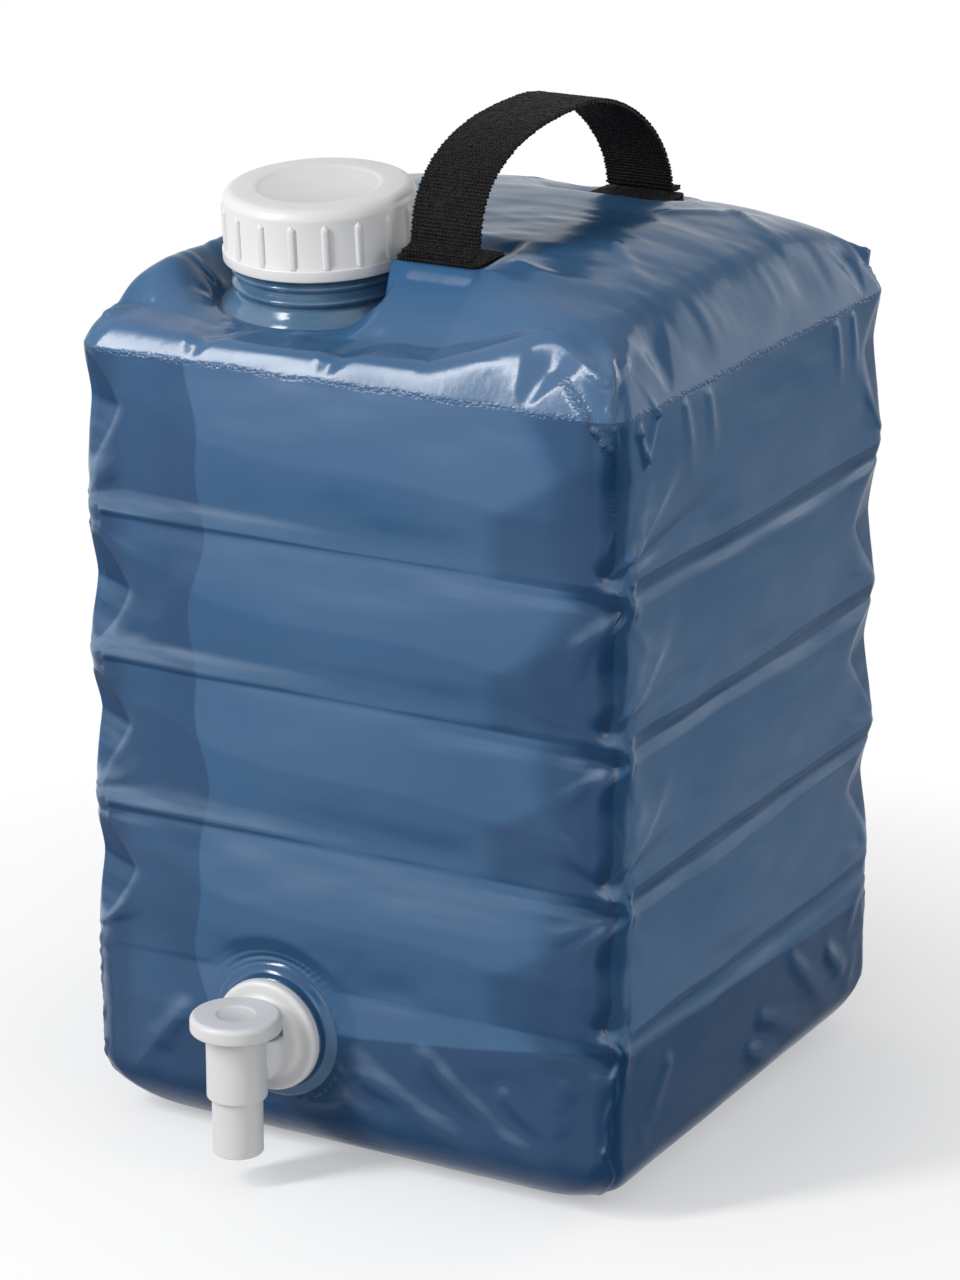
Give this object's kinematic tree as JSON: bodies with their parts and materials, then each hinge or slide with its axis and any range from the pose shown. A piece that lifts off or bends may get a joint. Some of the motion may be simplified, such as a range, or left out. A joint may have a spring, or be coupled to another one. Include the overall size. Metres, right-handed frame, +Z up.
{
  "type": "folding water container with tap",
  "caption": "Square blue film water bag that folds flat in tiers, with a screw cap on a leaning neck, a webbing handle on top and a push-button tap low on the front.",
  "frame": {"origin": "middle of the bag's flat foot, on the surface that it stands on", "axes": "+Z up; -Y out of the front wall, where the tap is; +X to the right seen from the front"},
  "size_m": [0.216, 0.255, 0.3616],
  "materials": {
    "film": "glossy, semi-clear",
    "spout": "glossy, semi-clear",
    "cap": "satin",
    "tap": "satin",
    "webbing": "coarse weave",
    "seal": "matt",
    "spring": "bright"
  },
  "bodies": {
    "base": {"bottom_panel": "film", "wall_front_foot": "film", "wall_right_foot": "film", "wall_rear_foot": "film", "wall_left_foot": "film", "wall_front_tier_2": "film", "wall_right_tier_2": "film", "wall_rear_tier_2": "film", "wall_left_tier_2": "film", "tap_boss": "spout", "tap_outer_washer": "seal", "tap_inner_washer": "seal", "tap_locknut": "tap", "tap_body": "tap", "tap_nozzle": "tap", "stem_seal_ring": "seal", "button_spring": "spring"},
    "tier_3": {"wall_front_tier_3": "film", "wall_right_tier_3": "film", "wall_rear_tier_3": "film", "wall_left_tier_3": "film"},
    "tier_4": {"wall_front_tier_4": "film", "wall_right_tier_4": "film", "wall_rear_tier_4": "film", "wall_left_tier_4": "film"},
    "tier_5": {"wall_front_tier_5": "film", "wall_right_tier_5": "film", "wall_rear_tier_5": "film", "wall_left_tier_5": "film"},
    "top": {"top_panel": "film", "neck_spout": "spout", "handle_strap": "webbing", "handle_patch_front": "webbing", "handle_patch_rear": "webbing"},
    "cap_seal": {"cap_seal": "seal"},
    "cap": {"cap": "cap"},
    "button": {"tap_button": "tap", "tap_stem": "tap", "valve_seal": "seal"}
  },
  "joints": [
    {"name": "tier_2_fold", "type": "slide", "parent": "base", "child": "tier_3", "axis": [0, 0, -1], "range_m": [0, 0.0312], "deforming": ["wall_front_tier_2", "wall_right_tier_2", "wall_rear_tier_2", "wall_left_tier_2"]},
    {"name": "tier_3_fold", "type": "slide", "parent": "tier_3", "child": "tier_4", "axis": [0, 0, -1], "range_m": [0, 0.0456], "deforming": ["wall_front_tier_3", "wall_right_tier_3", "wall_rear_tier_3", "wall_left_tier_3"]},
    {"name": "tier_4_fold", "type": "slide", "parent": "tier_4", "child": "tier_5", "axis": [0, 0, -1], "range_m": [0, 0.0456], "deforming": ["wall_front_tier_4", "wall_right_tier_4", "wall_rear_tier_4", "wall_left_tier_4"]},
    {"name": "tier_5_fold", "type": "slide", "parent": "tier_5", "child": "top", "axis": [0, 0, -1], "range_m": [0, 0.0456], "deforming": ["wall_front_tier_5", "wall_right_tier_5", "wall_rear_tier_5", "wall_left_tier_5"]},
    {"name": "cap_lift", "type": "slide", "parent": "top", "child": "cap_seal", "axis": [0, -0.0872, 0.9962], "range_m": [0, 0.012]},
    {"name": "cap_turn", "type": "hinge", "parent": "cap_seal", "child": "cap", "pos_m": [-0.04, -0.046, 0.2968], "axis": [0, -0.0872, 0.9962], "range_deg": [0, 720]},
    {"name": "button_press", "type": "slide", "parent": "base", "child": "button", "axis": [0, 0, -1], "range_m": [0, 0.004], "stiffness_N_per_m": 1000, "springref_m": -0.002, "deforming": ["button_spring"]}
  ],
  "couplings": [
    {"joint": "tier_2_fold", "follows": "tier_5_fold", "ratio": 0.68421},
    {"joint": "tier_3_fold", "follows": "tier_5_fold", "ratio": 1},
    {"joint": "tier_4_fold", "follows": "tier_5_fold", "ratio": 1},
    {"joint": "cap_turn", "follows": "cap_lift", "rad_per_m": 1047.2}
  ]
}
